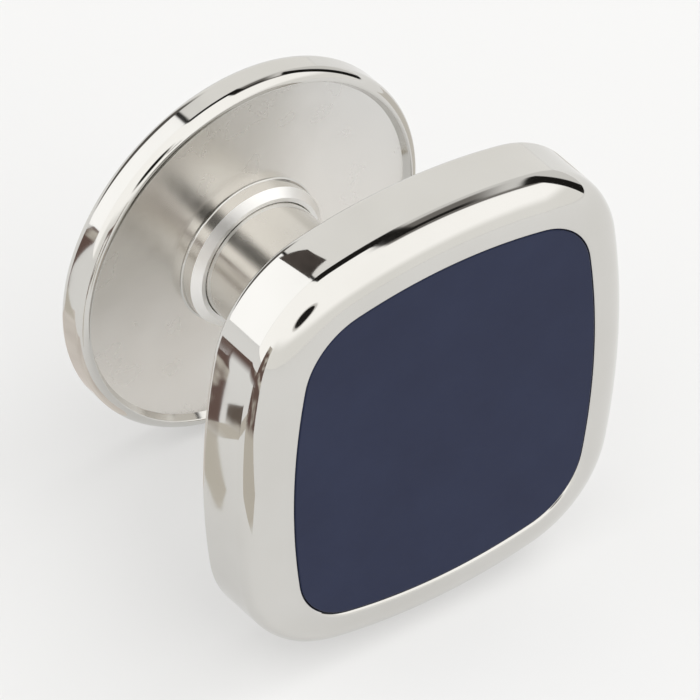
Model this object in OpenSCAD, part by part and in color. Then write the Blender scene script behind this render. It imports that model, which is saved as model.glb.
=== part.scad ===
// Dress stud: a cushion-shaped head with a flat inlay, a post and a round back.
// Millimetres. +Z is up and the face looks towards -Y, tipped back a little,
// because the stud lies on the lower edges of its head and of its back.

/* [Head] */
// Long side of the head, which stands upright
head_long = 11; // [10.6:0.1:13]
// Short side of the head
head_short = 10.3; // [10:0.1:12]
// From the face to the back of the head
head_thick = 2.05; // [1.8:0.05:3]
// Width of the metal border round the inlay
border = 1.07; // [0.95:0.01:1.3]
// Radius of the bowed top and bottom edges of the inlay
end_bow_r = 12.5; // [10:0.5:20]
// Radius of the bowed left and right edges of the inlay
side_bow_r = 17.2; // [12:0.2:24]
// Radius of the inlay's corners
corner_r = 1.7; // [1.2:0.1:2]
// Radius of the border's outer shoulder
shoulder_r = 0.7; // [0.5:0.02:0.7]
// Angle at which the shoulder runs into the flatter crown of the border
shoulder_angle = 50; // [40:1:60]
// Rounding of the thin lip next to the inlay
lip_r = 0.1; // [0.05:0.01:0.15]
// Rounding of the head's back edge
back_edge_r = 0.18; // [0.1:0.01:0.3]

/* [Inlay] */
// Thickness of the inlay
inlay_thick = 0.9; // [0.6:0.05:1]
// How far the inlay lies below the crest of the lip
inlay_drop = 0.04; // [0:0.01:0.06]

/* [Post] */
// Diameter of the post
post_d = 3; // [2.4:0.1:3]
// How far the post is let into the back of the head
post_seat = 0.5; // [0.3:0.05:0.6]

/* [Back] */
// From the face to the outside of the back disc
overall_depth = 7.95; // [7:0.05:10]
// Diameter of the back disc
disc_d = 9.3; // [8.5:0.1:10]
// Thickness of the back disc between its rim and its collar
disc_thick = 0.7; // [0.7:0.05:1]
// Height of the rounded rim above the disc's inner side
rim_raise = 0.17; // [0.1:0.01:0.2]
// Radius of the rim's outer shoulder
rim_shoulder_r = 0.28; // [0.2:0.02:0.3]
// Angle at which the shoulder ends at the rim's narrow crest
rim_angle = 75; // [60:1:80]
// Rounding of the disc's outer back edge
rim_back_r = 0.24; // [0.1:0.01:0.25]
// Diameter of the collar
collar_d = 3.6; // [3.6:0.1:4.2]
// Height of the collar
collar_h = 0.5; // [0.28:0.02:0.6]
// Width of the bevel round the collar's top
collar_bevel = 0.18; // [0.05:0.01:0.18]
// Rounding at the foot of the collar
collar_foot_r = 0.06; // [0.05:0.01:0.09]

/* [Hidden] */
$fn = 96;
silver_metal = [0.86, 0.85, 0.83];
navy_stone = [0.16, 0.18, 0.27];
// Clearance between pieces
gap = 0.03;
// Width of the bevel at the mouth of the collar
mouth_bevel = 0.06;
// Rounding of the inlay's upper edge
inlay_edge_r = 0.04;
// Rounding of the rim's crest, and the angle at which it falls away to the inner side
rim_crest_r = 0.06;
rim_inner_angle = 150;
// Straight pieces that a full turn of 1 mm radius takes in a rounded profile
turn_steps = 60;
// How far short of a corner's tangent points the bowed edges give way to the corner
corner_lap = 0.08;
// Reach of the wedge that clears a corner, well past the head's edge
wedge_size = 6;
// Flat between the lip's rounding and the crown
lip_flat = 0.04;

// All offsets start from the inlay's opening, an outline of eight arcs
half_long = head_long / 2 - border;
half_short = head_short / 2 - border;
end_centre = [0, half_long - end_bow_r];
side_centre = [half_short - side_bow_r, 0];
corner_centre = meet(end_centre, end_bow_r - corner_r, side_centre, side_bow_r - corner_r);
end_half_angle = atan2(corner_centre[0], corner_centre[1] - end_centre[1]);
side_half_angle = atan2(corner_centre[1], corner_centre[0] - side_centre[0]);

// Depths are below the crest of the lip, so they are negative
inlay_top = -inlay_drop;
inlay_bottom = inlay_top - inlay_thick;
pocket_floor = inlay_bottom - gap;
seat_floor = -head_thick + post_seat;
disc_inner = -overall_depth + disc_thick;
collar_top = disc_inner + collar_h;
socket_floor = -overall_depth + disc_thick / 2;
hole_r = post_d / 2 + gap;

// The border: a wide crown arc from the lip, then the shoulder down to the side wall
crown_start = lip_r + lip_flat;
crown_span = border - crown_start - shoulder_r * (1 - cos(shoulder_angle));
crown_r = crown_span / cos(shoulder_angle);
crown_mid = [crown_start, -crown_r];
shoulder_mid = crown_mid + (crown_r - shoulder_r) * [cos(shoulder_angle), sin(shoulder_angle)];
back_edge_mid = [border - back_edge_r, -head_thick + back_edge_r];
rim_back_mid = [disc_d / 2 - rim_back_r, -overall_depth + rim_back_r];

// At rest the lowest points of the head's back edge and of the disc's back edge are level
rest_fall = head_long / 2 - back_edge_r - rim_back_mid[0];
rest_run = back_edge_mid[1] - rim_back_mid[1];
rest_tilt = acos((rim_back_r - back_edge_r) / norm([rest_fall, rest_run]))
    - atan2(rest_run, rest_fall);
axis_height = rim_back_mid * [cos(rest_tilt), -sin(rest_tilt)] + rim_back_r;
front_reach = (half_long + crown_start) * sin(rest_tilt) + crown_mid[1] * cos(rest_tilt) + crown_r;
back_reach = rim_back_mid * [sin(rest_tilt), -cos(rest_tilt)] + rim_back_r;

// The point up and to the right of both that lies ra from a and rb from b
function meet(a, ra, b, rb) =
    let (d = norm(b - a),
         u = (b - a) / d,
         along = (d * d + ra * ra - rb * rb) / (2 * d),
         off = sqrt(ra * ra - along * along))
    a + along * u + off * [u[1], -u[0]];

// Points along an arc about mid, from angle a to angle b, finer on a larger radius
function arc(mid, r, a, b) =
    let (n = max(3, ceil(abs(b - a) / 360 * turn_steps * sqrt(r))))
    [for (i = [0:n]) mid + r * [cos(a + (b - a) * i / n), sin(a + (b - a) * i / n)]];

// The same without its first point, where an arc goes on from another one
function arc_on(mid, r, a, b) =
    let (p = arc(mid, r, a, b))
    [for (i = [1:len(p) - 1]) p[i]];

// Moves a cross-section's points out from the axis
function out_by(distance, points) =
    [for (p = points) [p[0] + distance, p[1]]];

// Lays the stud, drawn with its face up, down as it rests on a surface
module at_rest() {
    translate([0, (front_reach - back_reach) / 2, axis_height])
        rotate([90 - rest_tilt, 0, 0])
            children();
}

// Turns a half cross-section about a vertical axis; $edge is the opening's distance from it
module turned(mid, r) {
    $edge = r;
    translate([mid[0], mid[1], 0])
        rotate_extrude()
            children();
}

module four_corners() {
    for (turn = [0, 180]) {
        rotate([0, 0, turn])
            children();
        rotate([0, 0, turn])
            mirror([1, 0, 0])
                children();
    }
}

// The space that a corner's own rounding fills, from a little before its two tangent points
module corner_wedge() {
    side_ray = [cos(side_half_angle), sin(side_half_angle)];
    end_ray = [sin(end_half_angle), cos(end_half_angle)];
    tip = corner_centre - corner_lap * [1, 1];
    translate([0, 0, -overall_depth])
        linear_extrude(overall_depth + 2 * border)
            polygon([tip, tip + wedge_size * side_ray, tip + wedge_size * (side_ray + end_ray),
                     tip + wedge_size * end_ray]);
}

// A solid whose plan is the opening's outline, from half a cross-section drawn at $edge
module cushion() {
    difference() {
        intersection() {
            turned(end_centre, end_bow_r) children();
            turned(-end_centre, end_bow_r) children();
            turned(side_centre, side_bow_r) children();
            turned(-side_centre, side_bow_r) children();
        }
        four_corners() corner_wedge();
    }
    four_corners() turned(corner_centre, corner_r) children();
}

// From the axis out: back, back edge, side wall, shoulder, crown and a flat top
module head_profile() {
    polygon(concat(
        [[0, -head_thick]],
        out_by($edge, arc(back_edge_mid, back_edge_r, -90, 0)),
        out_by($edge, arc(shoulder_mid, shoulder_r, 0, shoulder_angle)),
        out_by($edge, arc_on(crown_mid, crown_r, shoulder_angle, 90)),
        [[0, 0]]
    ));
}

// The opening, flared at the top by the rounding of the lip
module pocket_profile() {
    polygon(concat(
        [[0, pocket_floor], [$edge, pocket_floor]],
        out_by($edge, arc([lip_r, -lip_r], lip_r, 180, 90)),
        [[$edge + lip_r, border], [0, border]]
    ));
}

module inlay_profile() {
    edge = $edge - gap;
    polygon(concat(
        [[0, inlay_bottom], [edge, inlay_bottom]],
        arc([edge - inlay_edge_r, inlay_top - inlay_edge_r], inlay_edge_r, 0, 90),
        [[0, inlay_top]]
    ));
}

module head_frame() {
    color(silver_metal)
        at_rest()
            difference() {
                cushion() head_profile();
                cushion() pocket_profile();
                translate([0, 0, -head_thick - border])
                    cylinder(h = post_seat + border, r = hole_r);
            }
}

module inlay() {
    color(navy_stone)
        at_rest()
            cushion() inlay_profile();
}

module post() {
    color(silver_metal)
        at_rest()
            translate([0, 0, socket_floor + gap])
                cylinder(h = seat_floor - socket_floor - 2 * gap, d = post_d);
}

// Half cross-section of the disc with its rim and collar, from the axis outwards
module disc_profile() {
    collar_r = collar_d / 2;
    rim_shoulder_mid = [disc_d / 2 - rim_shoulder_r,
                        disc_inner + rim_raise - rim_shoulder_r * sin(rim_angle)];
    crest_mid = rim_shoulder_mid + (rim_shoulder_r - rim_crest_r) * [cos(rim_angle), sin(rim_angle)];
    crest_end = crest_mid + rim_crest_r * [cos(rim_inner_angle), sin(rim_inner_angle)];
    polygon(concat(
        [[0, -overall_depth]],
        arc(rim_back_mid, rim_back_r, -90, 0),
        arc(rim_shoulder_mid, rim_shoulder_r, 0, rim_angle),
        arc_on(crest_mid, rim_crest_r, rim_angle, rim_inner_angle),
        [[crest_end[0] - (crest_end[1] - disc_inner) / tan(rim_inner_angle - 90), disc_inner]],
        arc([collar_r + collar_foot_r, disc_inner + collar_foot_r], collar_foot_r, 270, 180),
        [[collar_r, collar_top - collar_bevel], [collar_r - collar_bevel, collar_top],
         [hole_r + mouth_bevel, collar_top], [hole_r, collar_top - mouth_bevel],
         [hole_r, socket_floor], [0, socket_floor]]
    ));
}

module back_disc() {
    color(silver_metal)
        at_rest()
            rotate_extrude()
                disc_profile();
}

head_frame();
inlay();
post();
back_disc();
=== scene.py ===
"""A dress stud lying at rest: polished cushion-shaped head, navy inlay, post and round back."""

import math

import bpy
import numpy as np
from mathutils import Matrix, Vector


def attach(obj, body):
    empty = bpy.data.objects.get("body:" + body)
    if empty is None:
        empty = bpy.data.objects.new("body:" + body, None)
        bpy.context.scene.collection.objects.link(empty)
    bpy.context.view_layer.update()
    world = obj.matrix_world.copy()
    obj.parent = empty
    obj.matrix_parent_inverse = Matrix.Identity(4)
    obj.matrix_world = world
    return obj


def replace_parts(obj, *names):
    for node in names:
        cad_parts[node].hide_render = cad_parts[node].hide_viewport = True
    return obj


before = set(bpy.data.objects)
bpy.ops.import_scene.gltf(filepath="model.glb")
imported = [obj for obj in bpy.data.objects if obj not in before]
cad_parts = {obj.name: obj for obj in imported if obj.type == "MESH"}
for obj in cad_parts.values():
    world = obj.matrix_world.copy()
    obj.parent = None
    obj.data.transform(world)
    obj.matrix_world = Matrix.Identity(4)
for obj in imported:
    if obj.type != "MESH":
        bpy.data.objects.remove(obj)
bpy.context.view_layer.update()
MM = 0.001

# Sizes of the stud in millimetres, as in the part's source
HEAD_LONG, HEAD_SHORT, HEAD_THICK, BORDER = 11.0, 10.3, 2.05, 1.07
END_BOW_R, SIDE_BOW_R, CORNER_R = 12.5, 17.2, 1.7
SHOULDER_R, SHOULDER_ANGLE = 0.7, 50.0
LIP_R, LIP_FLAT, BACK_EDGE_R = 0.1, 0.04, 0.18
INLAY_THICK, INLAY_DROP = 0.9, 0.04
POST_D, POST_SEAT, GAP = 3.0, 0.5, 0.03
DEPTH, DISC_D, DISC_THICK = 7.95, 9.3, 0.7
RIM_RAISE, RIM_SHOULDER_R, RIM_ANGLE, RIM_BACK_R = 0.17, 0.28, 75.0, 0.24
RIM_CREST_R, RIM_INNER_ANGLE = 0.06, 150.0
COLLAR_D, COLLAR_H, COLLAR_BEVEL, COLLAR_FOOT_R = 3.6, 0.5, 0.18, 0.06

# The seams are drawn in here, and the edges beside them kept small, so that the joints look closed
INLAY_GAP, INLAY_EDGE_R = 0.008, 0.03
POST_GAP, MOUTH_BEVEL, POST_CHAMFER = 0.006, 0.015, 0.08

# Depths are below the crest of the lip, so they are negative
POCKET_FLOOR = -INLAY_DROP - INLAY_THICK - GAP
SEAT_FLOOR = -HEAD_THICK + POST_SEAT
DISC_INNER = -DEPTH + DISC_THICK
SOCKET_FLOOR = -DEPTH + DISC_THICK / 2
HOLE_R = POST_D / 2 + POST_GAP

# Facets of half a bow, of a corner, and of the post and the disc all round
BOW_FACETS, CORNER_FACETS, POST_FACETS, DISC_FACETS = 30, 36, 144, 256
# Degrees of a facet in a cross-section's wide, plain, tight and tiny arcs, and an arc's fewest facets
WIDE_STEP, PLAIN_STEP, TIGHT_STEP, TINY_STEP, FEWEST_FACETS = 2.5, 6.0, 8.0, 15.0, 4
# Width of the outermost ring of a flat end, which a fan closes: most ends, the inlay's top, the post's
END_RING, INLAY_TOP_RING, POST_RING = 0.5, 0.6, 0.4
# Width of the ring round the hole in the head's back
HOLE_RING = 0.05

# The metal's finishes, in the order in which a piece holds them; the last is also painted paler, a
# painted highlight
POLISHED, SATIN, BUFFED_HIGHLIT = 0, 1, 2

# The camera in the stud's own frame: x to its right, y along its long side, z out of its face.
# Lengths are in millimetres, apart from the clipping in metres, and the lean is in degrees
CAMERA_BACK = (-0.4705, 0.6463, 0.6008)
CAMERA_LEAN = 1.73
CAMERA_DISTANCE = 300.0
CAMERA_TARGET = (0.026, -0.354, -3.516)
PIXELS_PER_MM, IMAGE_PIXELS = 45.7, 700
SENSOR_WIDTH = 36.0
CAMERA_CLIP = (0.01, 10.0)

# Tones of the tent, of what shows through and in it, and of the backdrop that the camera sees
TENT, TENT_FRONT, TENT_BACK = (1.35, 1.34, 1.32), (1.0, 0.99, 0.96), (1.0, 0.99, 0.965)
BLACK, DARK, SMOKE = (0.015, 0.014, 0.013), (0.205, 0.193, 0.182), (0.13, 0.12, 0.11)
GREY, PEARL, WHITE = (0.8, 0.79, 0.77), (0.75, 0.73, 0.7), (1.42, 1.42, 1.42)
BACKDROP = (0.9, 0.9, 0.9)

# Tones of the glowing sheets beside the stud, which are painted reflection tones
BROWN, DEEP, PALE = (0.16, 0.105, 0.09), (0.15, 0.12, 0.10), (0.64, 0.60, 0.53)

# The floor and the lamp, in metres and watts
FLOOR_SIZE, FLOOR_GLOW = 3.0, 0.40
SOFTBOX_PLACE, SOFTBOX_SIZE, SOFTBOX_WATTS = (0.3, 0.03, 0.36), 0.3, 0.6

# Places of the mix node's colour sockets, because it has other sockets of the same names
MIX_UNDER, MIX_OVER, MIX_RESULT = 6, 7, 2
# Between these values lies nearly all of what a noise node gives
NOISE_LOW, NOISE_HIGH = 0.3, 0.7


def polar(angle):
    """Unit vector at an angle in degrees."""
    return np.array([math.cos(math.radians(angle)), math.sin(math.radians(angle))])


def crown():
    """The border's wide crown arc and its shoulder: start, radius and the two middles."""
    start = LIP_R + LIP_FLAT
    span = BORDER - start - SHOULDER_R * (1 - polar(SHOULDER_ANGLE)[0])
    r = span / polar(SHOULDER_ANGLE)[0]
    mid = np.array([start, -r])
    return start, r, mid, mid + (r - SHOULDER_R) * polar(SHOULDER_ANGLE)


def rest_pose():
    """The stud's place at rest, on the lower edges of its head and of its back."""
    back_edge = np.array([BORDER - BACK_EDGE_R, -HEAD_THICK + BACK_EDGE_R])
    rim_back = np.array([DISC_D / 2 - RIM_BACK_R, -DEPTH + RIM_BACK_R])
    fall = HEAD_LONG / 2 - BACK_EDGE_R - rim_back[0]
    run = back_edge[1] - rim_back[1]
    tilt = math.acos((RIM_BACK_R - BACK_EDGE_R) / math.hypot(fall, run)) - math.atan2(run, fall)
    height = rim_back @ [math.cos(tilt), -math.sin(tilt)] + RIM_BACK_R
    crown_start, crown_r, crown_mid, _ = crown()
    front = (HEAD_LONG / 2 - BORDER + crown_start) * math.sin(tilt)
    front += crown_mid[1] * math.cos(tilt) + crown_r
    back = rim_back @ [math.sin(tilt), -math.cos(tilt)] + RIM_BACK_R
    place = Matrix.Translation((0, (front - back) / 2 * MM, height * MM))
    return place @ Matrix.Rotation(math.pi / 2 - tilt, 4, "X")


def cushion_outline():
    """Round the inlay's opening: for each point its arc's centre, radius and direction."""
    end = np.array([0, HEAD_LONG / 2 - BORDER - END_BOW_R])
    side = np.array([HEAD_SHORT / 2 - BORDER - SIDE_BOW_R, 0])
    end_reach, side_reach = END_BOW_R - CORNER_R, SIDE_BOW_R - CORNER_R
    apart = np.linalg.norm(side - end)
    way = (side - end) / apart
    along = (apart**2 + end_reach**2 - side_reach**2) / (2 * apart)
    off = math.sqrt(end_reach**2 - along**2)
    corner = end + along * way + off * np.array([way[1], -way[0]])
    side_stop = math.degrees(math.atan2(corner[1], corner[0] - side[0]))
    end_start = 90 - math.degrees(math.atan2(corner[0], corner[1] - end[1]))
    quarter = [(side, SIDE_BOW_R, 0, side_stop, BOW_FACETS),
               (corner, CORNER_R, side_stop, end_start, CORNER_FACETS),
               (end, END_BOW_R, end_start, 90, BOW_FACETS)]
    flip = np.array([-1, 1])
    half = quarter + [(mid * flip, r, 180 - b, 180 - a, n) for mid, r, a, b, n in reversed(quarter)]
    arcs = half + [(-mid, r, a + 180, b + 180, n) for mid, r, a, b, n in half]
    points = [(mid, r, polar(a + (b - a) * i / n)) for mid, r, a, b, n in arcs for i in range(n)]
    centre, radius, way = (np.array(part, float) for part in zip(*points))
    return centre, radius[:, None], way


def circle_outline(n):
    """The same in n points for a round piece, whose cross-section starts at the axis."""
    way = np.array([polar(360 * i / n) for i in range(n)])
    return np.zeros((n, 2)), np.zeros((n, 1)), way


def line(p, q, finish=POLISHED, n=1):
    """One straight stretch of a cross-section in n pieces: points, normals and finish."""
    p, q = np.array(p, float), np.array(q, float)
    d = (q - p) / np.linalg.norm(q - p)
    normal = np.array([d[1], -d[0]])
    return [p + (q - p) * i / n for i in range(n + 1)], [normal] * (n + 1), finish


def arc(mid, r, a, b, step=PLAIN_STEP):
    """One polished arc of a cross-section; it bulges outwards where its angle grows."""
    n = max(FEWEST_FACETS, math.ceil(abs(b - a) / step))
    ways = [polar(a + (b - a) * i / n) for i in range(n + 1)]
    sign = 1 if b > a else -1
    return [np.array(mid) + r * w for w in ways], [sign * w for w in ways], POLISHED


def swept(name, outline, stretches, materials, round_first=0):
    """A closed mesh whose cross-section follows an outline, with exact normals.
    Its first round_first stretches follow circles about the axis instead."""
    centre, radius, way = outline
    n = len(way)
    rim = centre + radius * way
    spoke = rim / np.linalg.norm(rim, axis=1)[:, None] if radius.any() else way
    edges = [(a, (a + 1) % n) for a in range(n)]

    def ring(p, is_round):
        flat = p[0] * spoke if is_round else centre + (radius + p[0]) * way
        return np.column_stack([flat, np.full(n, p[1])])

    def lean(normal, is_round):
        flat = normal[0] * (spoke if is_round else way)
        return np.column_stack([flat, np.full(n, normal[1])])

    first, last = stretches[0][0][0], stretches[-1][0][-1]
    verts = [[(0, 0, first[1])], ring(first, round_first > 0)]
    faces = [(0, 1 + b, 1 + a) for a, b in edges]
    normals = [(0, 0, -1)] * (3 * n)
    finishes = [stretches[0][2]] * n
    base = 1
    for s, (points, leans, finish) in enumerate(stretches):
        is_round = s < round_first
        for i in range(len(points) - 1):
            verts.append(ring(points[i + 1], is_round))
            faces += [(base + a, base + b, base + n + b, base + n + a) for a, b in edges]
            lo, hi = lean(leans[i], is_round), lean(leans[i + 1], is_round)
            normals += [normal for a, b in edges for normal in (lo[a], lo[b], hi[b], hi[a])]
            finishes += [finish] * n
            base += n
    verts.append([(0, 0, last[1])])
    faces += [(base + a, base + b, base + n) for a, b in edges]
    normals += [(0, 0, 1)] * (3 * n)
    finishes += [stretches[-1][2]] * n

    mesh = bpy.data.meshes.new(name)
    mesh.from_pydata((np.vstack(verts) * MM).tolist(), [], faces)
    mesh.validate()
    for material in materials:
        mesh.materials.append(material)
    mesh.polygons.foreach_set("material_index", finishes)
    mesh.polygons.foreach_set("use_smooth", [True] * len(faces))
    mesh.normals_split_custom_set(np.asarray(normals, float).tolist())
    mesh.transform(rest_pose())
    piece = bpy.data.objects.new(name, mesh)
    bpy.context.scene.collection.objects.link(piece)
    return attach(piece, "root")


def make_head(materials):
    """The cushion-shaped setting, from the post's seat out to the side wall and in to the pocket."""
    start, crown_r, crown_mid, shoulder_mid = crown()
    back_mid = (BORDER - BACK_EDGE_R, -HEAD_THICK + BACK_EDGE_R)
    stretches = [
        line((HOLE_R, SEAT_FLOOR), (HOLE_R, -HEAD_THICK)),
        line((HOLE_R, -HEAD_THICK), (HOLE_R + HOLE_RING, -HEAD_THICK)),
        line((back_mid[0] - END_RING, -HEAD_THICK), (back_mid[0], -HEAD_THICK)),
        arc(back_mid, BACK_EDGE_R, -90, 0, TIGHT_STEP),
        line((BORDER, back_mid[1]), (BORDER, shoulder_mid[1]), n=4),
        arc(shoulder_mid, SHOULDER_R, 0, SHOULDER_ANGLE, WIDE_STEP),
        arc(crown_mid, crown_r, SHOULDER_ANGLE, 90, WIDE_STEP),
        line((start, 0), (LIP_R, 0)),
        arc((LIP_R, -LIP_R), LIP_R, 90, 180, TIGHT_STEP),
        line((0, -LIP_R), (0, POCKET_FLOOR)),
        line((0, POCKET_FLOOR), (-END_RING, POCKET_FLOOR)),
    ]
    head = swept("polished_head", cushion_outline(), stretches, materials, round_first=2)
    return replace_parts(head, "head_frame")


def make_inlay(materials):
    """The flat plate in the pocket, its upper edge slightly rounded."""
    top, edge = -INLAY_DROP, -INLAY_GAP
    bottom = top - INLAY_THICK
    round_mid = (edge - INLAY_EDGE_R, top - INLAY_EDGE_R)
    stretches = [
        line((edge - END_RING, bottom), (edge, bottom)),
        line((edge, bottom), (edge, round_mid[1])),
        arc(round_mid, INLAY_EDGE_R, 0, 90, TINY_STEP),
        line((round_mid[0], top), (round_mid[0] - INLAY_TOP_RING, top)),
    ]
    inlay = swept("navy_inlay", cushion_outline(), stretches, materials)
    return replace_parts(inlay, "inlay")


def make_post(materials):
    """The plain pin, chamfered at both ends."""
    r, bottom, top = POST_D / 2, SOCKET_FLOOR + GAP, SEAT_FLOOR - GAP
    inner_r = r - POST_CHAMFER
    stretches = [
        line((r - POST_RING, bottom), (inner_r, bottom)),
        line((inner_r, bottom), (r, bottom + POST_CHAMFER)),
        line((r, bottom + POST_CHAMFER), (r, top - POST_CHAMFER), n=24),
        line((r, top - POST_CHAMFER), (inner_r, top)),
        line((inner_r, top), (r - POST_RING, top)),
    ]
    post = swept("turned_post", circle_outline(POST_FACETS), stretches, materials)
    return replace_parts(post, "post")


def make_disc(materials):
    """The round back: rim polished, the face inside it satin with painted shade at its upper right, the
    collar's bevel and top less smooth and painted paler as a highlight.
    """
    rim_back = (DISC_D / 2 - RIM_BACK_R, -DEPTH + RIM_BACK_R)
    shoulder_mid = np.array([DISC_D / 2 - RIM_SHOULDER_R,
                             DISC_INNER + RIM_RAISE - RIM_SHOULDER_R * polar(RIM_ANGLE)[1]])
    crest_mid = shoulder_mid + (RIM_SHOULDER_R - RIM_CREST_R) * polar(RIM_ANGLE)
    crest_end = crest_mid + RIM_CREST_R * polar(RIM_INNER_ANGLE)
    inner_fall = (crest_end[1] - DISC_INNER) / math.tan(math.radians(RIM_INNER_ANGLE - 90))
    face_edge = (crest_end[0] - inner_fall, DISC_INNER)
    collar_r, collar_top = COLLAR_D / 2, DISC_INNER + COLLAR_H
    foot_mid = (collar_r + COLLAR_FOOT_R, DISC_INNER + COLLAR_FOOT_R)
    bevel_low, bevel_top = (collar_r, collar_top - COLLAR_BEVEL), (collar_r - COLLAR_BEVEL, collar_top)
    mouth_top, mouth_low = (HOLE_R + MOUTH_BEVEL, collar_top), (HOLE_R, collar_top - MOUTH_BEVEL)
    stretches = [
        line((rim_back[0] - END_RING, -DEPTH), (rim_back[0], -DEPTH)),
        arc(rim_back, RIM_BACK_R, -90, 0),
        line((DISC_D / 2, rim_back[1]), (DISC_D / 2, shoulder_mid[1])),
        arc(shoulder_mid, RIM_SHOULDER_R, 0, RIM_ANGLE, WIDE_STEP),
        arc(crest_mid, RIM_CREST_R, RIM_ANGLE, RIM_INNER_ANGLE, TIGHT_STEP),
        line(crest_end, face_edge),
        line(face_edge, (foot_mid[0], DISC_INNER), SATIN, n=8),
        arc(foot_mid, COLLAR_FOOT_R, 270, 180),
        line((collar_r, foot_mid[1]), bevel_low),
        # Painted highlight: the collar's bevel and top take the paler material
        line(bevel_low, bevel_top, BUFFED_HIGHLIT),
        line(bevel_top, mouth_top, BUFFED_HIGHLIT),
        line(mouth_top, mouth_low),
        line(mouth_low, (HOLE_R, SOCKET_FLOOR)),
        line((HOLE_R, SOCKET_FLOOR), (HOLE_R - POST_RING, SOCKET_FLOOR)),
    ]
    disc = swept("back_disc_turned", circle_outline(DISC_FACETS), stretches, materials)
    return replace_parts(disc, "back_disc")


class Tree:
    """A node tree, with short calls to add and join nodes and to mask regions."""

    def __init__(self, tree):
        self.tree = tree

    def add(self, kind, **settings):
        """Adds a node, where each setting is one of its inputs or else one of its properties."""
        node = self.tree.nodes.new(kind)
        for key, value in settings.items():
            if key in node.inputs:
                node.inputs[key].default_value = value
            else:
                setattr(node, key, value)
        return node

    def join(self, a, b):
        """Feeds one node's output into another's input."""
        self.tree.links.new(a, b)

    def along(self, way):
        """How far a place or direction lies along a given direction."""
        node = self.add("ShaderNodeVectorMath", operation="DOT_PRODUCT")
        self.join(self.place, node.inputs[0])
        node.inputs[1].default_value = Vector(way).normalized()
        return node.outputs["Value"]

    def past(self, value, edge, soft):
        """1 beyond the edge and 0 before it; a negative softness turns that round."""
        node = self.add("ShaderNodeMapRange", interpolation_type="SMOOTHSTEP")
        node.inputs["From Min"].default_value = edge - soft / 2
        node.inputs["From Max"].default_value = edge + soft / 2
        self.join(value, node.inputs["Value"])
        return node.outputs["Result"]

    def strip(self, value, low, high, soft):
        """1 between two edges and 0 outside them."""
        return self.both(self.past(value, low, soft), self.past(value, high, -soft))

    def both(self, *masks):
        """1 where all the masks are 1."""
        out = masks[0]
        for mask in masks[1:]:
            node = self.add("ShaderNodeMath", operation="MULTIPLY")
            self.join(out, node.inputs[0])
            self.join(mask, node.inputs[1])
            out = node.outputs[0]
        return out

    def over(self, under, mask, colour):
        """Lays a colour over a colour or over what is there, where the mask is 1."""
        node = self.add("ShaderNodeMix", data_type="RGBA")
        if isinstance(under, tuple):
            node.inputs[MIX_UNDER].default_value = (*under, 1)
        else:
            self.join(under, node.inputs[MIX_UNDER])
        node.inputs[MIX_OVER].default_value = (*colour, 1)
        self.join(mask, node.inputs["Factor"])
        return node.outputs[MIX_RESULT]


class Nodes(Tree):
    """A material of the principled shader, with noise and bump in the object's own place."""

    def __init__(self, name):
        self.material = bpy.data.materials.new(name)
        self.material.use_nodes = True
        super().__init__(self.material.node_tree)
        self.shader = next(n for n in self.tree.nodes if n.type == "BSDF_PRINCIPLED")
        self.place = self.add("ShaderNodeTexCoord").outputs["Object"]

    def give(self, name, value):
        """Sets one of the shader's inputs to a plain value, or joins a node's output to it."""
        socket = self.shader.inputs[name]
        if isinstance(value, bpy.types.NodeSocket):
            self.join(value, socket)
        else:
            socket.default_value = value

    def noise(self, per_mm, detail, rough=0.5):
        """Noise with that many features a millimetre."""
        node = self.add("ShaderNodeTexNoise", Scale=per_mm / MM, Detail=detail, Roughness=rough)
        self.join(self.place, node.inputs["Vector"])
        return node.outputs["Fac"]

    def ranged(self, noise, low, high):
        """Spreads a noise out over the range from low to high."""
        node = self.add("ShaderNodeMapRange")
        node.inputs["From Min"].default_value = NOISE_LOW
        node.inputs["From Max"].default_value = NOISE_HIGH
        node.inputs["To Min"].default_value = low
        node.inputs["To Max"].default_value = high
        self.join(noise, node.inputs["Value"])
        return node.outputs["Result"]

    def bump(self, height, depth_mm):
        """A surface that a noise makes uneven by up to that depth."""
        node = self.add("ShaderNodeBump", Strength=1.0, Distance=depth_mm * MM)
        self.join(height, node.inputs["Height"])
        return node.outputs["Normal"]


def silver(name, low, high, roughness, waves, far=None):
    """Silver between two tones, with a range of roughness and waves of a scale and depth.
    Where far is given, it is painted shade: the darker tone that the upper right side goes over to."""
    m = Nodes(name)
    colour = m.over(low, m.ranged(m.noise(per_mm=0.3, detail=3), 0, 1), high)
    if far:
        # Painted shade: the upper right side goes over to the darker far tone
        painted_shade_mask = m.past(m.along((1, 0, 1)), edge=6.3 * MM, soft=5 * MM)
        colour = m.over(colour, painted_shade_mask, far)
    waves_per_mm, depth = waves
    m.give("Metallic", 1.0)
    m.give("Base Color", colour)
    m.give("Roughness", m.ranged(m.noise(per_mm=1.0, detail=4), *roughness))
    m.give("Normal", m.bump(m.noise(waves_per_mm, detail=1.5), depth))
    return m.material


def polished_metal():
    """Bright silver, hand-polished, so very slightly wavy and not equally smooth all over."""
    return silver("polished_silver", low=(0.64, 0.628, 0.598), high=(0.68, 0.67, 0.645),
                  roughness=(0.035, 0.085), waves=(0.55, 0.004))


def satin_metal():
    """The inside face of the back disc: the same metal, turned and given only a light buffing, with
    painted shade over its upper right side.
    """
    # far is painted shade over the face's upper right side
    return silver("satin_silver", low=(0.79, 0.755, 0.705), high=(0.84, 0.815, 0.775),
                  roughness=(0.21, 0.29), waves=(0.9, 0.003), far=(0.69, 0.685, 0.67))


def highlit_buffed_metal():
    """The collar's bevel and top, where the wheel doesn't reach well: less smooth, and paler as a painted
    highlight.
    """
    # The pale tones are a painted highlight; the roughness is the finish's own
    return silver("highlit_buffed_silver", low=(0.94, 0.93, 0.91), high=(0.97, 0.965, 0.95),
                  roughness=(0.35, 0.41), waves=(0.9, 0.004))


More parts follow.
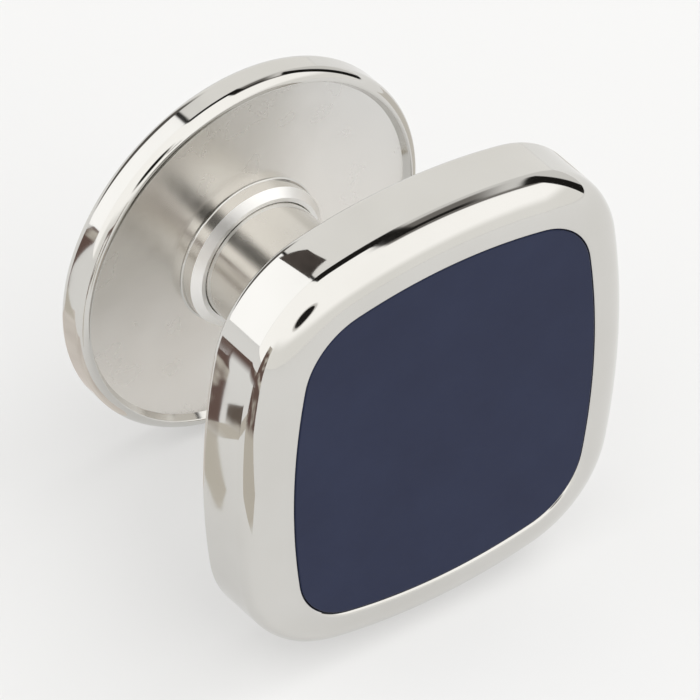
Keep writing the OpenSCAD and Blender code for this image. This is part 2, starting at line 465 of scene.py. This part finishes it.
def navy_stone():
    """Flat polished navy: nearly even colour with a faint cloudiness below the gloss."""
    m = Nodes("navy_stone")
    deep, clear = (0.0040, 0.0092, 0.0405), (0.0070, 0.0136, 0.0492)
    cloud = m.ranged(m.noise(per_mm=0.5, detail=5, rough=0.6), 0, 1)
    m.give("Base Color", m.over(deep, cloud, clear))
    m.give("Roughness", m.ranged(m.noise(per_mm=1.0, detail=4), 0.10, 0.16))
    m.give("Specular IOR Level", 0.25)
    m.give("Normal", m.bump(m.noise(per_mm=0.4, detail=1), depth_mm=0.002))
    return m.material


def make_floor():
    """Plain pale paper with some glow of its own, which keeps it even."""
    bpy.ops.mesh.primitive_plane_add(size=FLOOR_SIZE)
    floor = bpy.context.object
    floor.name = "floor"
    m = Nodes("floor_paper")
    low, high = (0.45, 0.45, 0.45), (0.455, 0.455, 0.455)
    m.give("Base Color", m.over(low, m.noise(per_mm=0.02, detail=2), high))
    m.give("Emission Color", (1, 1, 0.995, 1))
    m.give("Emission Strength", FLOOR_GLOW)
    m.give("Roughness", 0.9)
    m.give("Specular IOR Level", 0.1)
    floor.data.materials.append(m.material)


def make_camera():
    """Looks at the stud from a fixed side of it, as in the photograph, however it lies."""
    pose = rest_pose()
    turn = pose.to_3x3()
    back = (turn @ Vector(CAMERA_BACK)).normalized()
    long_axis = turn @ Vector((0, 1, 0))
    up = (long_axis - back * long_axis.dot(back)).normalized()
    up = Matrix.Rotation(math.radians(CAMERA_LEAN), 3, back) @ up
    right = up.cross(back)
    data = bpy.data.cameras.new("camera")
    data.sensor_width = SENSOR_WIDTH
    data.lens = SENSOR_WIDTH * PIXELS_PER_MM * CAMERA_DISTANCE / IMAGE_PIXELS
    data.clip_start, data.clip_end = CAMERA_CLIP
    camera = bpy.data.objects.new("camera", data)
    bpy.context.scene.collection.objects.link(camera)
    place = pose @ (Vector(CAMERA_TARGET) * MM) + back * CAMERA_DISTANCE * MM
    camera.matrix_world = Matrix.Translation(place) @ Matrix((right, up, back)).transposed().to_4x4()
    bpy.context.scene.camera = camera


class Sky(Tree):
    """The tent round the stud as the world's light, painted in soft-edged regions."""

    def __init__(self, colour):
        world = bpy.data.worlds.new("tent")
        bpy.context.scene.world = world
        world.use_nodes = True
        super().__init__(world.node_tree)
        self.tree.nodes.clear()
        self.place = self.add("ShaderNodeTexCoord").outputs["Generated"]
        self.light = colour
        self.right, self.behind, self.up = (self.along(way) for way in Matrix.Identity(3))

    def paint(self, colour, *masks):
        """Lays a colour over what is painted so far, where all the masks are 1."""
        self.light = self.over(self.light, self.both(*masks), colour)

    def hang(self):
        """Puts what is painted up as the world's light."""
        background = self.add("ShaderNodeBackground")
        self.join(self.light, background.inputs["Color"])
        output = self.add("ShaderNodeOutputWorld")
        self.join(background.outputs[0], output.inputs["Surface"])


def toward(compass, height):
    """A direction from its compass angle (0 behind the stud, 90 right) and its height."""
    east, north = math.sin(math.radians(compass)), math.cos(math.radians(compass))
    level = math.cos(math.radians(height))
    return east * level, north * level, math.sin(math.radians(height))


def paint_room(sky):
    """The back right side, open onto a grey room with a dark frame round it."""
    room_side = 0.31
    edge, slant = sky.along((1, 0.09, 0)), sky.along((0.82, 0.57, 0))
    right, behind = sky.right, sky.behind
    sky.paint(DARK, sky.past(edge, room_side, 0.02), sky.past(behind, 0.03, 0.06))
    sky.paint(GREY, sky.past(right, 0.63, 0.12), sky.past(behind, 0.16, 0.12))
    sky.paint(GREY, sky.past(edge, 0.44, 0.06), sky.past(behind, 0.54, 0.08))
    sky.paint(BLACK, sky.strip(edge, room_side, 0.43, 0.02), sky.past(behind, 0.14, 0.04))
    sky.paint(BLACK, sky.strip(behind, 0.15, 0.29, 0.04), sky.strip(edge, room_side, 0.6, 0.1))
    sky.paint(GREY, sky.past(slant, 0.81, 0.02), sky.past(right, 0.9, 0.02))
    sky.paint(BLACK, sky.strip(slant, 0.66, 0.87, 0.02), sky.past(right, 0.71, 0.02))


def paint_back(sky):
    """Behind the stud: a black seam, then a pale wall, which is white left of a thin black line,
    and a dim patch deep in its left and middle."""
    depth = sky.along(rest_pose().to_3x3() @ Vector((0, 0, -1)))
    sky.paint(BLACK, sky.strip(depth, 0.29, 0.59, 0.03), sky.strip(sky.right, -0.13, 0.33, 0.03))
    wall = sky.past(depth, 0.58, 0.02)
    sky.paint(TENT_BACK, wall)
    sky.paint(BLACK, wall, sky.past(sky.right, -0.055, -0.02))
    sky.paint(WHITE, wall, sky.past(sky.right, -0.10, -0.02))
    sky.paint(SMOKE, sky.past(sky.behind, 0.745, 0.05), sky.past(sky.right, 0.15, -0.2))


def paint_spot(sky):
    """A round black spot with a grey edge, halfway up at the front left."""
    spot = sky.along(toward(-141, 44))
    sky.paint(PEARL, sky.past(spot, 0.972, 0.012))
    sky.paint(BLACK, sky.past(spot, 0.982, 0.003))


def make_tent():
    """A white tent, a little dimmer low at the front; the camera itself sees a plain backdrop."""
    sky = Sky(TENT)
    sky.paint(TENT_FRONT, sky.past(sky.behind, -0.15, -0.3), sky.past(sky.up, 0.36, -0.24))
    paint_room(sky)
    paint_back(sky)
    paint_spot(sky)
    sky.paint(BACKDROP, sky.add("ShaderNodeLightPath").outputs["Is Camera Ray"])
    sky.hang()


def make_softbox():
    """A soft round lamp at the right, which lays the stud's shadow and isn't reflected."""
    light = bpy.data.lights.new("softbox", "AREA")
    light.shape = "DISK"
    light.size = SOFTBOX_SIZE
    light.energy = SOFTBOX_WATTS
    box = bpy.data.objects.new("softbox", light)
    bpy.context.scene.collection.objects.link(box)
    box.location = SOFTBOX_PLACE
    box.rotation_euler = (-box.location).to_track_quat("-Z", "Y").to_euler()
    box.visible_glossy = False


def make_sheet(name, corners, shade, fade=None):
    """A glowing sheet beside the stud that shows only in the metal's reflections and lights nothing: a
    painted reflection.
    """
    mesh = bpy.data.meshes.new(name)
    mesh.from_pydata([[v * MM for v in corner] for corner in corners], [], [range(len(corners))])
    m = Nodes(name)
    m.give("Base Color", (0, 0, 0, 1))
    m.give("Specular IOR Level", 0)
    m.give("Emission Strength", 1)
    m.give("Emission Color", shade(m))
    if fade:
        m.give("Alpha", fade(m))
    mesh.materials.append(m.material)
    sheet = bpy.data.objects.new(name, mesh)
    bpy.context.scene.collection.objects.link(sheet)
    sheet.visible_camera = sheet.visible_diffuse = sheet.visible_shadow = False


def make_card(name, outline, split, dark=BROWN):
    """An upright sheet left of the stud, blotchy dark above a height, pale below it and faded out
    at its foot. Its outline is given as places along the stud's axis and heights."""
    card_x, split_soft, foot_soft = -7.5, 0.5, 0.8
    foot = min(height for _, height in outline)

    def shade(m):
        blotches = m.past(m.noise(per_mm=0.9, detail=2), edge=0.4, soft=0.16)
        above = m.past(m.along((0, 0, 1)), split * MM, split_soft * MM)
        return m.over(PALE, m.both(above, blotches), dark)

    def fade(m):
        return m.past(m.along((0, 0, 1)), (foot + foot_soft / 2) * MM, foot_soft * MM)

    make_sheet(name, [(card_x, along, height) for along, height in outline], shade, fade)


def make_tinted(name, corners, low, high, per_mm=0.5):
    """A sheet whose tone wanders softly between two colours."""
    make_sheet(name, corners, lambda m: m.over(low, m.noise(per_mm, detail=2), high))


def make_sheets():
    """The dark and pale glowing sheets that the polished walls and the rim reflect: painted reflections.
    """
    back = [(0.5, 8.0), (0.5, 3.6), (0.6, 1.6), (0.3, -0.4), (-0.25, 1.6), (0.0, 3.6), (0.0, 8.0)]
    edge = [(-2.6, 10.5), (-2.3, 6.0), (-3.2, 3.6), (-5.2, 2.0), (-5.6, 3.6), (-4.0, 6.0), (-3.4, 10.5)]
    foot = [(0.5, 3.3), (-0.2, 3.8), (-1.2, 4.8), (-2.6, 6.0),
            (-2.6, 6.6), (-1.2, 5.4), (-0.2, 4.4), (0.5, 3.8)]
    make_card("beside_back", back, split=3.7)
    make_card("beside_edge", edge, split=6.0)
    make_card("beside_middle", [(-0.2, 4.1), (-1.0, 4.5), (-1.0, 5.9), (-0.2, 5.2)], split=4.6, dark=DEEP)
    make_card("beside_top", [(0.6, 7.2), (-2.8, 7.5), (-2.8, 8.5), (0.6, 8.1)], split=6.5)
    make_card("beside_foot", foot, split=8.0, dark=PALE)
    make_card("beside_rim", [(6.25, 0.5), (6.7, 0.5), (6.7, 7.0), (6.25, 7.0)], split=3.0)

    # The ground sheet, blotched brown, is a painted reflection of darker, shaded floor
    ground = [(-9.0, 1.8, 0.05), (-3.2, 1.8, 0.05), (-3.2, 8.0, 0.05), (-9.0, 8.0, 0.05)]
    right = [(8.0, 1.0, 0.6), (8.0, 4.6, 0.6), (8.0, 4.6, 6.4), (8.0, 1.0, 6.4)]
    # The corner flag, a small dark sheet above the head, is a painted dark reflection on the head's
    # corner
    corner = [(-3.64, 0.05, 11.8), (-2.44, -0.23, 12.02), (-2.28, -0.76, 12.11), (-3.43, -0.92, 12.0)]
    make_tinted("beside_ground", ground, (0.55, 0.49, 0.45), (0.95, 0.90, 0.84))
    make_tinted("beside_right", right, (0.66, 0.63, 0.58), (0.74, 0.71, 0.66))
    make_tinted("corner_flag", corner, (0.04, 0.036, 0.033), (0.12, 0.1, 0.09), per_mm=1.5)


bpy.context.scene.view_settings.view_transform = "Standard"
polished, satin, highlit_buffed = polished_metal(), satin_metal(), highlit_buffed_metal()
make_head([polished])
make_inlay([navy_stone()])
make_post([polished])
make_disc([polished, satin, highlit_buffed])
make_floor()
make_sheets()
make_tent()
make_softbox()
make_camera()
